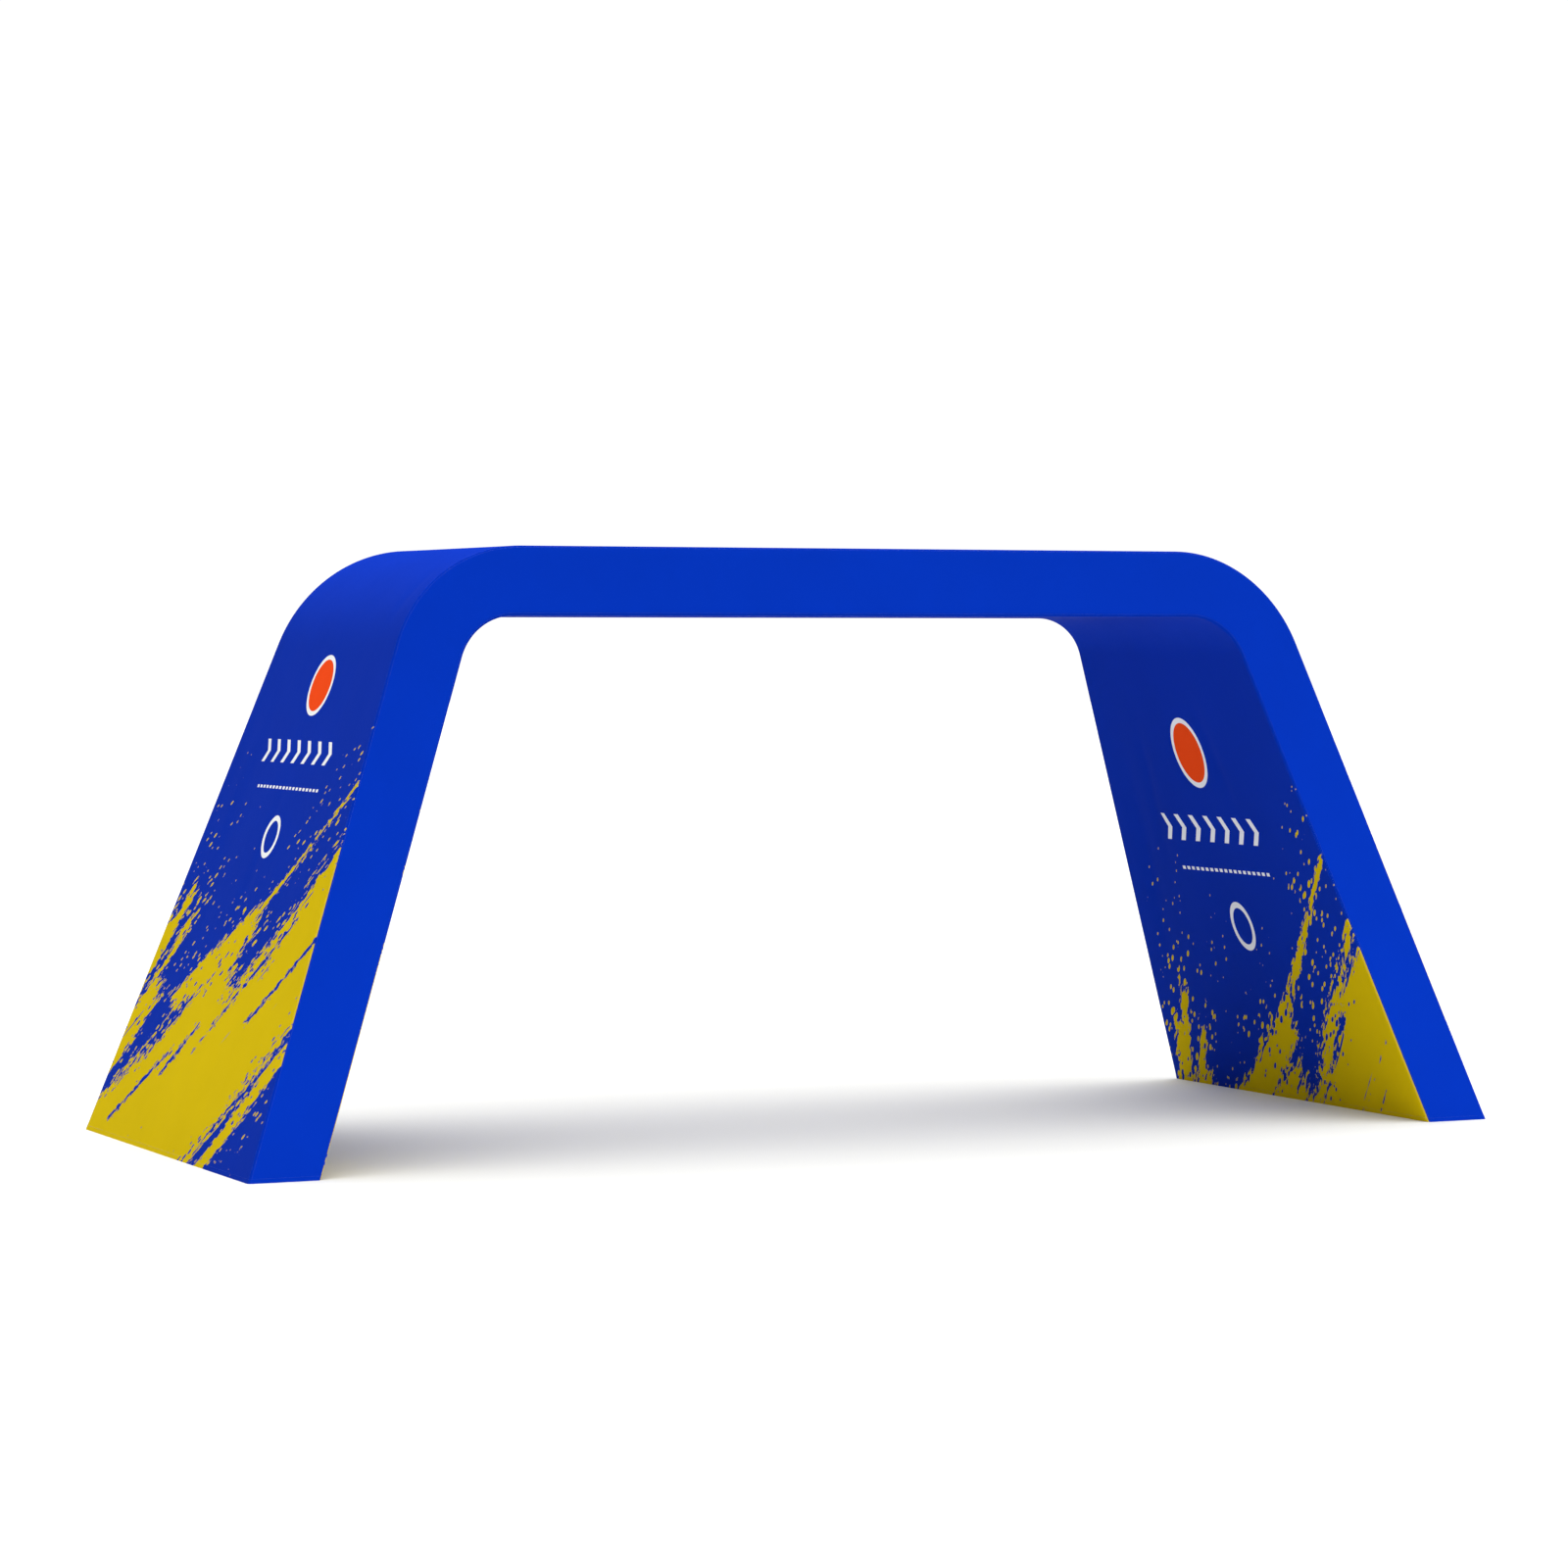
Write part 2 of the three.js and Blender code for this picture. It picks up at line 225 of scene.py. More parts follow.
def slide_to(stations, points, across):
    """Takes points of the right bend's sections down the leg or in along the beam to their stations."""
    run = points[..., 2] * np.maximum(np.abs(stations) - LEG_END, 0)
    points[..., 0] = (points[..., 0] + LEG_RUN * run) * np.clip(stations, -BEAM_END, BEAM_END)
    points[..., 1] -= FACE_RUN * (1 - 2 * across) * run
    points[..., 2] -= run
    return points


def leg_top(line):
    return line["z"] + (line["radius"] - line["facing"] * EDGE_RADIUS) * math.sin(LEG_ANGLE)


def arch_stations(line):
    """Stations from foot to foot, closer together at the hems."""
    hem = np.array(HEM_STOPS) * HEM_HEIGHT / leg_top(line)
    legs = np.concatenate([hem, np.linspace(0, 1, LEG_STEPS + 1)[2:]])
    bends = np.linspace(1, 2, BEND_STEPS + 1)[1:]
    beam = np.linspace(2, 3, BEAM_STEPS + 1)[1:]
    half = FOOT - np.concatenate([legs, bends, beam])
    return np.concatenate([-half, half[-2::-1]])


def cross_stops(flat_steps):
    """Two arrays, one number for each stop across a sheet: lip runs from 0 at the seam to 1 on the
    flat, and share from 0 at the first corner to 1 at the last."""
    lip = np.array(LIP_STOPS)
    flat = np.linspace(0, 1, flat_steps + 1)
    lips = np.concatenate([lip, np.ones(flat_steps + 1), lip[::-1]])
    shares = np.concatenate([np.zeros(len(lip)), flat, np.ones(len(lip))])
    return lips, shares


def bump(x, middle, half):
    return np.exp(-(((x - middle) / half) ** 2))


def drawn_in(sheet, stations, across):
    """How far a band is drawn in between the tubes and spreaders that hold it."""
    place = np.abs(stations)
    held = 1 - (2 * across - 1) ** EDGE_HOLD
    between = np.abs(np.sin(math.pi * place))
    up = FOOT - place
    depth = np.full(np.broadcast(place, across).shape, LEG_HOLLOW)
    for trough in TROUGHS:
        if trough["band"] == sheet["name"]:
            here = np.sign(stations) == trough["side"]
            deep = here * trough["deep"] * bump(up, trough["up"], trough["tall"])
            depth = depth + deep * bump(across, trough["across"], trough["wide"])
    roof = ROOF_HOLLOW if sheet["name"] == "outer" else 0
    depth = np.where(place < LEG_END, BEND_HOLLOW, depth)
    depth = np.where(place < BEAM_END, roof, depth)
    return (depth + creased(sheet, stations, across)) * held * between


def creased(sheet, stations, across):
    """How far the creases draw a band in."""
    up = FOOT - np.abs(stations)
    depth = np.zeros(np.broadcast(stations, across).shape)
    for crease in CREASES:
        if crease["band"] == sheet["name"]:
            share = (up - crease["low"]) / (crease["high"] - crease["low"])
            middle = crease["start"] + (crease["end"] - crease["start"]) * share
            fade = np.sin(math.pi * np.clip(share, 0, 1)) ** 2 * (np.sign(stations) == crease["side"])
            depth = depth + crease["deep"] * fade * bump(across, middle, crease["wide"])
    return depth


def sewn_rise(lips, heights):
    """The sewn seam allowance under the edge, the groove between the two cloths, and the turned-up hem."""
    ridge = SEAM_RIDGE * np.clip(lips / RIDGE_FULL, 0, 1) * np.clip((RIDGE_END - lips) / RIDGE_FALL, 0, 1)
    groove = SEAM_GROOVE * bump(lips, 0, GROOVE_HALF)
    hem = HEM_RISE * np.clip((HEM_HEIGHT - heights) / (HEM_FADE * HEM_HEIGHT), 0, 1)
    return np.maximum(ridge - groove, -SEAM_GROOVE) + hem


def cover_grid(sheet, stations, lips, shares, depth):
    """Points on the cloth, a row for each station and a column for each stop, and their outward ways."""
    stations = stations[:, None]
    angle = angle_at(stations)
    (first_line, first_face), (last_line, last_face) = sheet["corners"]
    across = (1 - shares) * (first_face + 1) / 2 + shares * (last_face + 1) / 2
    heights = (FOOT - np.abs(stations)) * leg_top(first_line)
    reach = EDGE_RADIUS - depth + sewn_rise(lips[None, :], heights)
    turn = 0.5 + SEAM_SHARE + (0.5 - SEAM_SHARE) * lips[None, :]
    ends = []
    ways = []
    for line, face in sheet["corners"]:
        own, other = line_normal(line, angle), face_normal(face)
        if sheet["follows"] == "face":
            own, other = other, own
        way = turn_between(other, own, turn * np.ones_like(angle))
        ends.append(corner_axis(line, face, angle) + reach[..., None] * way)
        ways.append(way)
    share = shares[None, :, None]
    points = ends[0] * (1 - share) + ends[1] * share
    way = ways[0] * (1 - share) + ways[1] * share
    way[..., 0] *= np.where(stations < 0, -1, 1)
    points = slide_to(stations, points, across[None, :])
    if sheet["follows"] == "line":
        on_flat = (lips == 1)[None, :]
        inwards = drawn_in(sheet, stations, shares[None, :]) * on_flat
        points = points - inwards[..., None] * way
    return points, way


def path_up(line, stations):
    """Length along the cloth from the nearest foot."""
    place = np.abs(stations)
    leg = leg_top(line) * math.hypot(1, LEG_RUN)
    up = np.clip(FOOT - place, 0, 1) * leg
    up = up + np.clip(LEG_END - place, 0, 1) * TURN * line["radius"]
    return up + np.clip(BEAM_END - place, 0, 1) * line["x"]


def new_mesh(name, points, faces):
    mesh = bpy.data.meshes.new(name)
    mesh.from_pydata(points, [], faces)
    mesh.update()
    return mesh


def closed_sheet(name, outside, inside):
    """A thin closed sheet from two grids of points."""
    rows, columns = outside.shape[:2]
    count = rows * columns
    index = np.arange(count).reshape(rows, columns)
    corners = [index[:-1, :-1], index[1:, :-1], index[1:, 1:], index[:-1, 1:]]
    quads = np.stack(corners, axis=-1).reshape(-1, 4)
    rim = np.concatenate([index[0, :], index[1:, -1], index[-1, -2::-1], index[-2:0:-1, 0]])
    after = np.roll(rim, -1)
    edge = np.stack([rim, after, after + count, rim + count], axis=-1)
    faces = np.concatenate([quads, quads[:, ::-1] + count, edge])
    points = np.concatenate([outside.reshape(-1, 3), inside.reshape(-1, 3)])
    return new_mesh(name, points.tolist(), faces.tolist())


def facing_out(mesh, outwards, count):
    """Turns the faces round if the outer grid's faces look against its outward directions."""
    normals = np.array([v.normal for v in mesh.vertices[:count]])
    if np.sum(normals * outwards) < 0:
        mesh.flip_normals()


def put(name, mesh, material):
    piece = bpy.data.objects.new(name, mesh)
    bpy.context.collection.objects.link(piece)
    mesh.materials.append(material)
    mesh.shade_smooth()
    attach(piece, "root")
    return piece


def print_places(sheet, stations, outside):
    """Where each point is on the print: metres from the front edge and up the cloth, and its face's grain."""
    grain = np.where(stations < 0, 0.0, RIGHT_GRAIN) + (INNER_GRAIN if sheet["name"] == "inner" else 0.0)
    up = path_up(sheet["corners"][0][0], stations)[:, None]
    if sheet["name"] == "inner":
        up = (up + INNER_PRINT_DROP) / INNER_PRINT_TALL
    return vectors(outside[..., 1] + FLOOR_DEPTH / 2, up, grain[:, None]).reshape(-1, 3)


def add_sheet(sheet, flat_steps, material):
    stations = arch_stations(sheet["corners"][0][0])
    lips, shares = cross_stops(flat_steps)
    outside, way = cover_grid(sheet, stations, lips, shares, 0)
    inside, _ = cover_grid(sheet, stations, lips, shares, KNIT)
    mesh = closed_sheet(sheet["piece"], outside, inside)
    facing_out(mesh, way.reshape(-1, 3), outside.shape[0] * outside.shape[1])
    piece = put(sheet["piece"], mesh, material)
    mesh.set_sharp_from_angle(angle=SHARP)
    at = print_places(sheet, stations, outside)
    both = np.concatenate([at, at])
    place = mesh.attributes.new("print_at", "FLOAT_VECTOR", "POINT")
    place.data.foreach_set("vector", both.astype(np.float32).ravel())
    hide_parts(sheet["node"])
    return piece


def sheets():
    outer, inner = LINES["outer"], LINES["inner"]
    made = []
    for name, face in FACES.items():
        made.append({
            "name": name, "piece": f"{name}_cloth", "node": f"{name}_panel", "slot": "cloth_plain",
            "follows": "face", "corners": [(outer, face), (inner, face)],
        })
    for name, line in LINES.items():
        made.append({
            "name": name, "piece": f"{name}_cloth", "node": f"{name}_band", "slot": "cloth_printed",
            "follows": "line", "corners": [(line, FACES["front"]), (line, FACES["back"])],
        })
    return made


# Materials
WHITE_LIGHT = (1, 1, 1, 1)
# Sockets of the node that mixes two colours
MIX_FACTOR = 0
MIX_FIRST = 6
MIX_SECOND = 7
MIX_RESULT = 2


class Tree:
    """Short calls for building a node tree, which starts empty."""

    def __init__(self, owner):
        owner.use_nodes = True
        owner.node_tree.nodes.clear()
        self.tree = owner.node_tree

    def add(self, kind, inputs=None, **settings):
        node = self.tree.nodes.new(kind)
        for key, value in settings.items():
            setattr(node, key, value)
        for key, value in (inputs or {}).items():
            if isinstance(value, bpy.types.NodeSocket):
                self.tree.links.new(value, node.inputs[key])
            else:
                node.inputs[key].default_value = value
        return node

    def math(self, operation, *values):
        return self.add("ShaderNodeMath", dict(enumerate(values)), operation=operation).outputs[0]

    def noise(self, vector, scale, detail=3.0, roughness=0.5):
        inputs = {"Vector": vector, "Scale": scale, "Detail": detail, "Roughness": roughness}
        return self.add("ShaderNodeTexNoise", inputs).outputs["Fac"]

    def mapped(self, vector, location=(0, 0, 0), turn=0.0, scale=(1, 1, 1), kind="POINT"):
        inputs = {"Vector": vector, "Rotation": (0, 0, turn), "Scale": scale, "Location": location}
        return self.add("ShaderNodeMapping", inputs, vector_type=kind).outputs[0]

    def mix(self, factor, first, second):
        inputs = {MIX_FACTOR: factor, MIX_FIRST: first, MIX_SECOND: second}
        return self.add("ShaderNodeMix", inputs, data_type="RGBA").outputs[MIX_RESULT]

    def step(self, value, low, high):
        """Rises smoothly from 0 where the value is low to 1 where it is high."""
        inputs = {"Value": value, "From Min": low, "From Max": high}
        return self.add("ShaderNodeMapRange", inputs, interpolation_type="SMOOTHSTEP").outputs[0]

    def ramp(self, value, low, high):
        """Runs from low to high as the value goes from 0 to 1."""
        inputs = {"Value": value, "To Min": low, "To Max": high}
        return self.add("ShaderNodeMapRange", inputs).outputs[0]

    def bump(self, height, strength, distance, **others):
        inputs = {"Height": height, "Strength": strength, "Distance": distance, **others}
        return self.add("ShaderNodeBump", inputs).outputs[0]

    def place(self):
        return self.add("ShaderNodeTexCoord").outputs["Object"]

    def finish(self, inputs):
        """Closes a material's tree with its surface."""
        shader = self.add("ShaderNodeBsdfPrincipled", inputs)
        self.add("ShaderNodeOutputMaterial", {"Surface": shader.outputs[0]})


def new_material(name):
    material = bpy.data.materials.new(name)
    return material, Tree(material)


def srgb(red, green, blue):
    """A display colour from 0 to 255 as linear RGBA."""
    parts = [c / 255 for c in (red, green, blue)]
    linear = [c / 12.92 if c <= 0.04045 else ((c + 0.055) / 1.055) ** 2.4 for c in parts]
    return (*linear, 1.0)


BLUE = srgb(0, 42, 159)
YELLOW = srgb(203, 176, 0)
ORANGE = srgb(232, 70, 16)
WHITE = srgb(232, 234, 236)
THREAD_DARK = srgb(0, 40, 150)
THREAD_LIGHT = srgb(20, 66, 200)
TUBE_DULL = srgb(168, 171, 176)
TUBE_BRIGHT = srgb(206, 208, 211)
PAINT = srgb(40, 42, 46)
PAINT_WORN = srgb(92, 94, 97)

# On the inner faces the print is taller, and sits lower
INNER_PRINT_TALL = 1.28
INNER_PRINT_DROP = 1.09
# Added to the print's third coordinate on the right leg and on the inner faces, so that each face has a grain
# of its own
RIGHT_GRAIN = 5.0
INNER_GRAIN = 11.0

# Brush strokes of the print on a leg face: middle, in metres from the front edge and up the cloth from the
# floor, half length and half width in metres, and turn in degrees from level. They rise towards the front.
STROKES = table("across up half wide turn", [
    (0.84, 0.62, 1.60, 0.390, -40),
    (1.90, 0.25, 1.02, 0.330, -33),
    (1.02, 1.36, 0.98, 0.018, -41),
    (0.20, 1.72, 0.20, 0.026, -50),
    (2.46, 0.92, 0.48, 0.040, -60),
    (2.34, 0.86, 0.36, 0.034, -55),
    (0.07, 1.98, 0.14, 0.007, -60),
    (2.57, 0.78, 0.44, 0.070, -62),
    (1.56, 0.97, 0.52, 0.085, -30),
    (2.53, 0.55, 0.42, 0.120, -46),
    (0.40, 0.35, 0.60, 0.050, -44),
])
# Lines inside the strokes that the brush left bare
BARE_LINES = table("across up half wide turn", [
    (0.98, 0.90, 0.58, 0.012, -41),
    (0.46, 0.98, 0.40, 0.007, -38),
    (2.05, 0.30, 0.36, 0.008, -34),
    (1.62, 0.52, 0.22, 0.014, -40),
])
# Width of a stroke's ragged edge: a part in metres and a share of the stroke's half width. A stroke fades in
# more slowly from its ends, and the cover is kept between two limits, in edge widths.
STROKE_EDGE = 0.03
STROKE_EDGE_SHARE = 0.25
END_WEIGHT = 0.4
LEAST_COVER = -4.0
MOST_COVER = 2.6

# Noise that breaks the strokes up: how often it varies in a metre, along and across the grain, its detail and
# its weight
GRAIN_TURN = math.radians(40)
GRAIN_ROUGHNESS = 0.55
MEAN_NOISE = 0.5
BRISTLES = {"along": 0.8, "across": 21, "detail": 4.0, "weight": 2.6}
FLECKS = {"along": 17, "across": 64, "detail": 2.0, "weight": 2.6}
PATCHES = {"along": 1.3, "across": 3.6, "detail": 2.0, "weight": 2.0}
PAINT_EDGE = 0.05
# Drops outside the strokes and gaps inside, which crowd together, and fine slits
DROPS = {"along": 13, "across": 33, "size": 0.38, "outside": 0.44, "inside": 0.28, "least": 0.11}
DROP_EDGE = 0.02
DROP_FADE = 0.01
GAP_SHIFT = 40
CLUSTERS = {"along": 1.6, "across": 5.0, "detail": 2.0, "least": 0.35, "low": -0.10, "high": 0.12}
SLITS = {"along": 0.9, "across": 34, "detail": 1.0, "open": 0.17, "edge": 0.02}


def brush_cover(tree, at, strokes):
    """How far inside the strokes a place is: first in edge widths, 0 on an outline, then in metres."""
    cover, reach = None, None
    for stroke in strokes:
        middle = (stroke["across"], stroke["up"], 0)
        local = tree.mapped(at, middle, math.radians(stroke["turn"]), kind="TEXTURE")
        apart = tree.add("ShaderNodeSeparateXYZ", {0: local})
        along = tree.math("SUBTRACT", stroke["half"], tree.math("ABSOLUTE", apart.outputs[0]))
        aside = tree.math("SUBTRACT", stroke["wide"], tree.math("ABSOLUTE", apart.outputs[1]))
        inside = tree.math("MINIMUM", tree.math("MULTIPLY", along, END_WEIGHT), aside)
        scaled = tree.math("DIVIDE", inside, STROKE_EDGE + STROKE_EDGE_SHARE * stroke["wide"])
        cover = scaled if cover is None else tree.math("MAXIMUM", cover, scaled)
        reach = inside if reach is None else tree.math("MAXIMUM", reach, inside)
    return tree.math("MINIMUM", tree.math("MAXIMUM", cover, LEAST_COVER), MOST_COVER), reach


def grain_noise(tree, grain, kind):
    """Noise drawn out along the grain, about 0."""
    scaled = tree.mapped(grain, scale=(kind["along"], kind["across"], 1))
    noise = tree.noise(scaled, scale=1.0, detail=kind["detail"], roughness=GRAIN_ROUGHNESS)
    return tree.math("SUBTRACT", noise, MEAN_NOISE)


def brush_drops(tree, grain, shift):
    """Distance to the nearest of many scattered long drops, in drop widths."""
    scaled = tree.mapped(grain, (shift, shift, 0), scale=(DROPS["along"], DROPS["across"], 1))
    return tree.add("ShaderNodeTexVoronoi", {"Vector": scaled, "Scale": 1.0}).outputs["Distance"]


def scattered(tree, grain, size, reach, end, shift):
    """Drops that shrink from the strokes' outlines to where the reach is at its end."""
    near = tree.add("ShaderNodeMapRange", {"Value": reach, "From Min": end, "From Max": 0.0}).outputs[0]
    spread = tree.math("MULTIPLY", near, size)
    inside = tree.math("SUBTRACT", spread, brush_drops(tree, grain, shift))
    drops = tree.step(inside, -DROP_EDGE, DROP_EDGE)
    return tree.math("MULTIPLY", drops, tree.step(spread, DROPS["least"] - DROP_FADE, DROPS["least"]))


def brush_mask(tree, at):
    """Dry brush strokes: solid inside, with bare lines, ragged at the edges, with drops around them."""
    grain = tree.mapped(at, turn=GRAIN_TURN)
    ragged = 0
    for kind in (BRISTLES, FLECKS, PATCHES):
        weighted = tree.math("MULTIPLY", grain_noise(tree, grain, kind), kind["weight"])
        ragged = tree.math("ADD", ragged, weighted)
    cover, reach = brush_cover(tree, at, STROKES)
    painted = tree.step(tree.math("ADD", cover, ragged), -PAINT_EDGE, PAINT_EDGE)
    bare, _ = brush_cover(tree, at, BARE_LINES)
    kept = tree.step(tree.math("ADD", bare, ragged), PAINT_EDGE, -PAINT_EDGE)
    painted = tree.math("MULTIPLY", painted, kept)
    clusters = tree.step(grain_noise(tree, grain, CLUSTERS), CLUSTERS["low"], CLUSTERS["high"])
    slits = tree.math("MULTIPLY", grain_noise(tree, grain, SLITS), clusters)
    closed = tree.step(slits, SLITS["open"] + SLITS["edge"], SLITS["open"])
    painted = tree.math("MULTIPLY", painted, closed)
    size = tree.math("MULTIPLY", tree.ramp(clusters, CLUSTERS["least"], 1.0), DROPS["size"])
    drops = scattered(tree, grain, size, reach, -DROPS["outside"], 0)
    painted = tree.math("MAXIMUM", painted, drops)
    gaps = scattered(tree, grain, size, reach, DROPS["inside"], GAP_SHIFT)
    return tree.math("MULTIPLY", painted, tree.math("SUBTRACT", 1.0, gaps))


# Plain marks high on each leg face: a roundel, a row of chevrons, a row of dashes and a ring
MARK_ACROSS = FLOOR_DEPTH / 2
MARK_EDGE = 0.0008
ROUNDEL = {"up": 2.45, "radius": 0.136, "rim": 0.160}
CHEVRONS = {"up": 2.10, "count": 7, "pitch": 0.155, "tall": 0.060, "slope": 0.85, "thick": 0.046}
DASHES = {"up": 1.91, "count": 19, "pitch": 0.050, "tall": 0.0075, "slope": 0.0, "thick": 0.030}
RING = {"up": 1.655, "radius": 0.098, "thick": 0.028}


def under(tree, value, limit):
    return tree.step(value, limit + MARK_EDGE, limit - MARK_EDGE)


def mark_place(tree, at, mark):
    return tree.mapped(at, (-MARK_ACROSS, -mark["up"], 0))


def mark_distance(tree, at, mark):
    place = mark_place(tree, at, mark)
    flat = tree.add("ShaderNodeVectorMath", {0: place, 1: (1, 1, 0)}, operation="MULTIPLY")
    return tree.add("ShaderNodeVectorMath", {0: flat.outputs[0]}, operation="LENGTH").outputs["Value"]


def row_mask(tree, at, row):
    """A level row of equal bars, each bent into a chevron where the row has a slope."""
    apart = tree.add("ShaderNodeSeparateXYZ", {0: mark_place(tree, at, row)})
    rise = tree.math("ABSOLUTE", apart.outputs[1])
    shifted = tree.math("SUBTRACT", apart.outputs[0], tree.math("MULTIPLY", rise, row["slope"]))
    repeat = tree.math("PINGPONG", shifted, row["pitch"] / 2)
    reach = row["count"] * row["pitch"] / 2
    bars = under(tree, repeat, row["thick"] / 2)
    level = under(tree, rise, row["tall"])
    within = under(tree, tree.math("ABSOLUTE", shifted), reach)
    return tree.math("MULTIPLY", tree.math("MULTIPLY", bars, level), within)


def ring_mask(tree, at, ring):
    offset = tree.math("SUBTRACT", mark_distance(tree, at, ring), ring["radius"])
    return under(tree, tree.math("ABSOLUTE", offset), ring["thick"] / 2)


def knit_finish(tree, colour):
    """The knit's own finish over a colour: fine wales, mottled ink, a soft sheen."""
    where = tree.place()
    ink = tree.noise(where, scale=2.3, detail=5.0, roughness=0.55)
    shade = tree.ramp(ink, low=0.93, high=1.07)
    colour = tree.add("ShaderNodeHueSaturation", {"Value": shade, "Color": colour}).outputs[0]
    wales = tree.add(
        "ShaderNodeTexWave", {"Vector": where, "Scale": 160.0, "Distortion": 1.2, "Detail": 2.0},
        wave_type="BANDS", bands_direction="DIAGONAL",
    ).outputs["Fac"]
    fuzz = tree.math("MULTIPLY", tree.noise(where, scale=900.0, detail=2.0), 0.6)
    weave = tree.math("ADD", wales, fuzz)
    fine = tree.bump(weave, strength=0.25, distance=0.0004)
    pull = tree.noise(tree.mapped(where, scale=(1.3, 1.3, 0.45)), scale=2.2)
    broad = tree.bump(pull, strength=0.35, distance=0.02, Normal=fine)
    tree.finish({
        "Base Color": colour, "Roughness": tree.ramp(weave, low=0.72, high=0.88), "Normal": broad,
        "Sheen Weight": 0.008, "Sheen Roughness": 0.5, "Specular IOR Level": 0.02,
    })


def plain_knit():
    material, tree = new_material("plain_knit")
    knit_finish(tree, BLUE)
    return material


def printed_knit():
    material, tree = new_material("printed_knit")
    at = tree.add("ShaderNodeAttribute", attribute_name="print_at").outputs["Vector"]
    colour = tree.mix(brush_mask(tree, at), BLUE, YELLOW)
    for mask in (row_mask(tree, at, CHEVRONS), row_mask(tree, at, DASHES), ring_mask(tree, at, RING)):
        colour = tree.mix(mask, colour, WHITE)
    distance = mark_distance(tree, at, ROUNDEL)
    colour = tree.mix(under(tree, distance, ROUNDEL["rim"]), colour, WHITE)
    colour = tree.mix(under(tree, distance, ROUNDEL["radius"]), colour, ORANGE)
    knit_finish(tree, colour)
    return material


def thread():
    material, tree = new_material("sewing_thread")
    twist = tree.noise(tree.place(), scale=1500.0, detail=1.0)
    tree.finish({
        "Base Color": tree.mix(twist, THREAD_DARK, THREAD_LIGHT), "Roughness": 0.55,
        "Normal": tree.bump(twist, strength=0.4, distance=0.0002), "Sheen Weight": 0.2,
    })
    return material


def tube_metal():
    material, tree = new_material("drawn_aluminium")
    where = tree.place()
    scuffs = tree.noise(where, scale=14.0, detail=6.0, roughness=0.7)
    grain = tree.noise(where, scale=420.0)
    tree.finish({
        "Base Color": tree.mix(scuffs, TUBE_DULL, TUBE_BRIGHT), "Metallic": 1.0,
        "Roughness": tree.ramp(scuffs, low=0.28, high=0.5),
        "Normal": tree.bump(grain, strength=0.2, distance=0.0002),
    })
    return material


def plate_paint():
    material, tree = new_material("powder_coat")
    where = tree.place()
    orange_peel = tree.noise(where, scale=700.0, detail=2.0)
    wear = tree.noise(where, scale=18.0, detail=5.0, roughness=0.65)
    tree.finish({
        "Base Color": tree.mix(tree.step(wear, low=0.56, high=0.72), PAINT, PAINT_WORN), "Roughness": 0.6,
        "Normal": tree.bump(orange_peel, strength=0.3, distance=0.0003),
    })
    return material


def finish_frame():
    metal, paint = tube_metal(), plate_paint()
    for name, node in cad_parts.items():
        if not name.endswith(("_panel", "_band")):
            node.data.materials.clear()
            node.data.materials.append(paint if name.endswith("_plate") else metal)


# Sewing


def along_row(points, ways, pitch):
    """Places a pitch apart along a row of points, with the row's direction and the outward one there."""
    steps = np.linalg.norm(np.diff(points, axis=0), axis=1)
    reached = np.concatenate([[0], np.cumsum(steps)])
    stops = np.arange(pitch, reached[-1] - pitch, pitch)

    def values_at(stops, values):
        return np.stack([np.interp(stops, reached, values[:, k]) for k in range(3)], axis=-1)

    place = values_at(stops, points)
    along = values_at(stops + pitch / 4, points) - place
    out = values_at(stops, ways)
    along /= np.linalg.norm(along, axis=1, keepdims=True)
    out /= np.linalg.norm(out, axis=1, keepdims=True)
    return place, along, out


def stitch_mesh(name, rows):
    """One small spindle of thread for each stitch of the rows: two tips, and four corners round its waist."""
    place, along, out = (np.concatenate(parts) for parts in zip(*rows))
    aside = np.cross(along, out)
    tips = [place + sign * along * STITCH_LENGTH / 2 for sign in (-1, 1)]
    waist = [place + STITCH_RADIUS * (aside * x + out * y) for x, y in ((1, 0), (0, 1), (-1, 0), (0, -1))]
    corners = tips + waist
    points = np.stack(corners, axis=1).reshape(-1, 3)
    faces = []
    for k in range(len(waist)):
        here = len(tips) + k
        after = len(tips) + (k + 1) % len(waist)
        faces.append([0, after, here])
        faces.append([1, here, after])
    starts = len(corners) * np.arange(len(place))
    faces = (np.array(faces)[None] + starts[:, None, None]).reshape(-1, 3)
    return new_mesh(name, points.tolist(), faces.tolist())


def seam_rows(sheet):
    """A row of stitches beside each long edge of a sheet, and one along each floor hem."""
    line = sheet["corners"][0][0]
    stations = arch_stations(line)
    rows = []
    for share in (0.0, 1.0):
        points, ways = cover_grid(sheet, stations, np.array([STITCH_LIP]), np.array([share]), 0)
        rows.append(along_row(points[:, 0], ways[:, 0], STITCH_PITCH))
    lips, shares = cross_stops(PANEL_STEPS)
    hem = FOOT - HEM_STITCH_HEIGHT / leg_top(line)
    for side in (-1, 1):
        points, ways = cover_grid(sheet, np.array([side * hem]), lips, shares, 0)
        rows.append(along_row(points[0], ways[0], STITCH_PITCH))
    return rows


# Stage: a pale floor, a white surround and soft lights
FLOOR_HALF = 150.0
FLOOR_COLOUR = (0.58, 0.578, 0.552, 1)
DOME_RADIUS = 160.0
DOME_GLOW = 1.05
WORLD_LIGHT = 0.042


def stage_piece(name, mesh, material):
    piece = bpy.data.objects.new(name, mesh)
    mesh.materials.append(material)
    bpy.context.collection.objects.link(piece)
    return piece


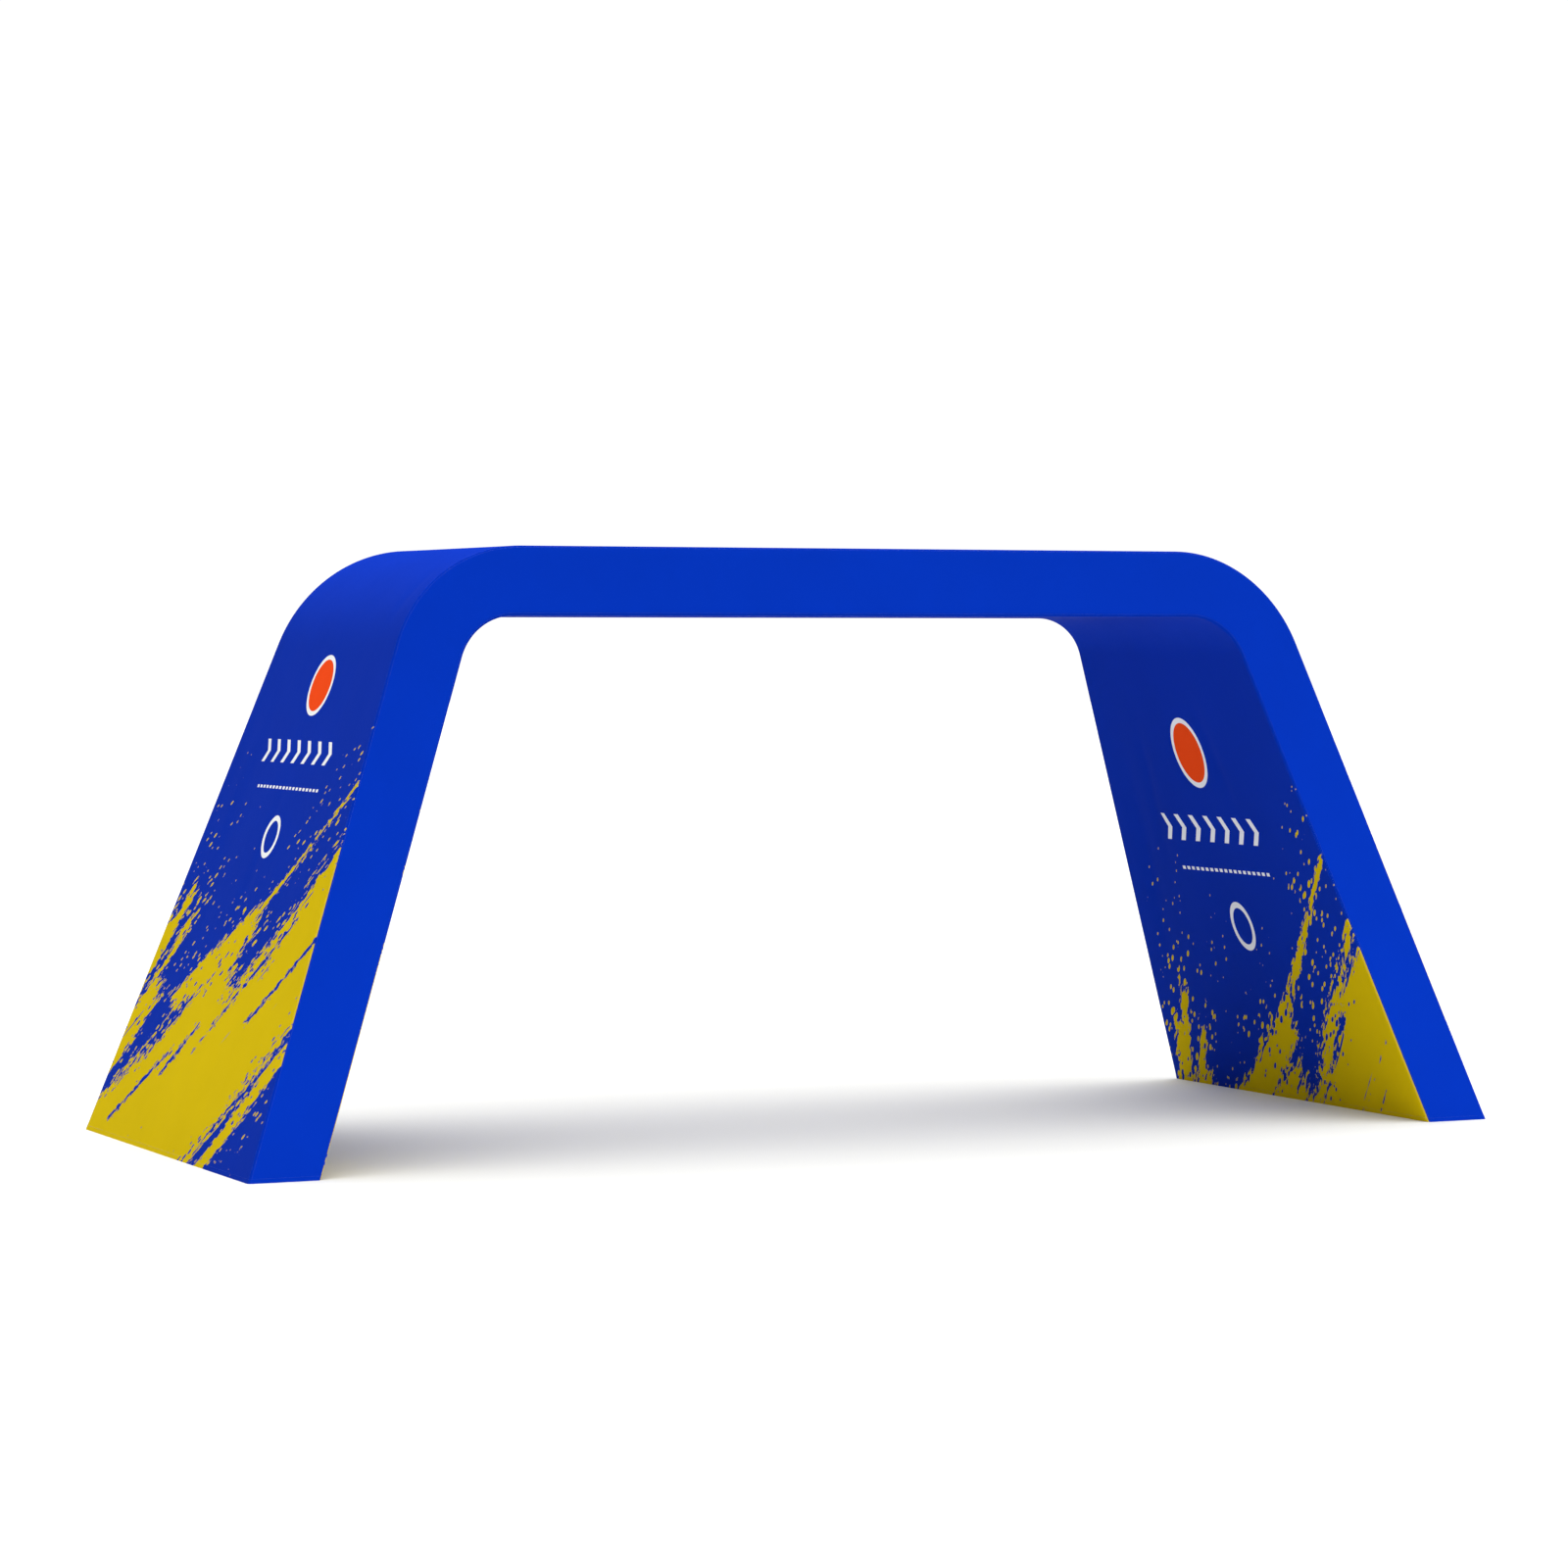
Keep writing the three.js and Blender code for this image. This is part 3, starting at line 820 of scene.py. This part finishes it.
def add_floor():
    material, tree = new_material("pale_floor")
    tree.finish({"Base Color": FLOOR_COLOUR, "Roughness": 0.9, "Specular IOR Level": 0.1})
    corners = [(FLOOR_HALF * x, FLOOR_HALF * y, 0) for x, y in ((-1, -1), (1, -1), (1, 1), (-1, 1))]
    stage_piece("studio_floor", new_mesh("studio_floor", corners, [(0, 1, 2, 3)]), material)


def add_backdrop():
    """A white surround that the camera sees and that lights nothing."""
    mesh = bpy.data.meshes.new("studio_backdrop")
    form = bmesh.new()
    bmesh.ops.create_uvsphere(form, u_segments=48, v_segments=24, radius=DOME_RADIUS)
    form.to_mesh(mesh)
    form.free()
    material, tree = new_material("white_backdrop")
    glow = tree.add("ShaderNodeEmission", {"Color": WHITE_LIGHT, "Strength": DOME_GLOW})
    tree.add("ShaderNodeOutputMaterial", {"Surface": glow.outputs[0]})
    backdrop = stage_piece("studio_backdrop", mesh, material)
    for way in ("diffuse", "glossy", "transmission", "volume_scatter", "shadow"):
        setattr(backdrop, f"visible_{way}", False)


def add_world():
    world = bpy.data.worlds.new("soft_fill")
    tree = Tree(world)
    surround = tree.add("ShaderNodeBackground", {"Color": WHITE_LIGHT, "Strength": WORLD_LIGHT})
    tree.add("ShaderNodeOutputWorld", {"Surface": surround.outputs[0]})
    bpy.context.scene.world = world


def floor_group(name, state):
    """A group that holds the floor, for a light that falls on it alone or one that leaves it out."""
    group = bpy.data.collections.new(name)
    group.objects.link(bpy.data.objects["studio_floor"])
    group.collection_objects[0].light_linking.link_state = state
    return group


def add_light(data, place, aim, falls_on):
    light = bpy.data.objects.new(data.name, data)
    light.light_linking.receiver_collection = falls_on
    light.location = place
    way = Vector(aim) - Vector(place)
    light.rotation_euler = way.to_track_quat("-Z", "Y").to_euler()
    light.visible_camera = False
    bpy.context.collection.objects.link(light)


def add_far_source(name, place, strength, spread, falls_on):
    """A very large soft source far away, the same all over the stage."""
    data = bpy.data.lights.new(name, "SUN")
    data.energy = strength
    data.angle = math.radians(spread)
    add_light(data, place, (0, 0, 0), falls_on)


def add_softbox(name, place, aim, size, power, falls_on):
    data = bpy.data.lights.new(name, "AREA")
    data.shape = "RECTANGLE"
    data.size, data.size_y = size
    data.energy = power
    add_light(data, place, aim, falls_on)


def add_lights():
    """Soft lights for the arch, and one of the floor's own, which sets how dark and wide the shadow is."""
    but_floor = floor_group("all_but_floor", "EXCLUDE")
    floor_alone = floor_group("floor_alone", "INCLUDE")
    add_far_source("overhead_softbox", (1.5, 0, 20), strength=5.5, spread=76, falls_on=but_floor)
    add_far_source("high_front_softbox", (1, -20, 16), strength=1.2, spread=46, falls_on=but_floor)
    add_far_source("floor_softbox", (0, 0, 20), strength=7.1, spread=92, falls_on=floor_alone)
    add_softbox(
        "front_softbox", (0.1, -4.2, 0.3), aim=(0, -1.2, 0.6), size=(7.6, 0.4), power=72, falls_on=but_floor
    )


def declare(name):
    """Does nothing: no flat size and no tubes are given for the sheet here."""
    if name.startswith(("front", "back")):
        return


def build():
    add_camera()
    plain, printed = plain_knit(), printed_knit()
    made = {}
    rows = {}
    for sheet in sheets():
        is_band = sheet["follows"] == "line"
        steps = BAND_STEPS if is_band else PANEL_STEPS
        made[sheet["piece"]] = add_sheet(sheet, steps, printed if is_band else plain)
        rows[sheet["piece"]] = seam_rows(sheet)
    sewing = thread()
    for name, piece in made.items():
        mesh = stitch_mesh(f"{name}_stitches", rows[name])
        stitches = put(f"{name}_stitches", mesh, sewing)
        declare(name)
    finish_frame()
    add_floor()
    add_backdrop()
    add_world()
    add_lights()
    bpy.context.scene.view_settings.view_transform = "Standard"


build()
